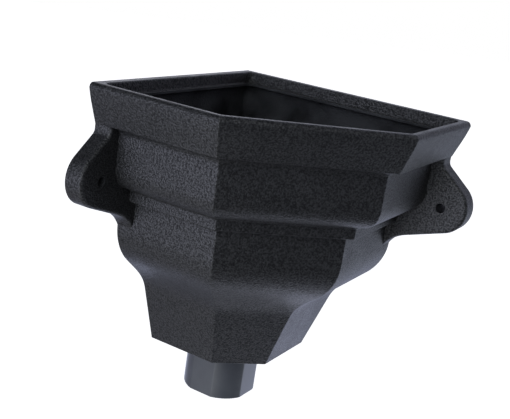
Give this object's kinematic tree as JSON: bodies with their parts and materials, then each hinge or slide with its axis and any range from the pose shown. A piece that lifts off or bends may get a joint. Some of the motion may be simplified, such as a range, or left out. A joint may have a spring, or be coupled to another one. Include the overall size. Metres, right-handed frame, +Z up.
{
  "type": "downpipe hopper head",
  "caption": "Corner hopper head with stepped and ogee mouldings, a fixing ear on each house wall, an open top and a spigot for round or square downpipe.",
  "frame": {"origin": "centre of the bounding box on X and Y, at the lower end of the spigot", "axes": "+Z up; -Y out of the house corner towards the front face; +X to the right seen from the front; the two house walls run at 45 degrees to X and Y and meet at the back, on +Y"},
  "size_m": [0.338, 0.24, 0.2959],
  "materials": {
    "cast_effect_plastic": "charcoal with a fine cast grain; smooth on the spigot"
  },
  "bodies": {
    "root": {"hopper_head": "cast_effect_plastic"}
  },
  "joints": []
}
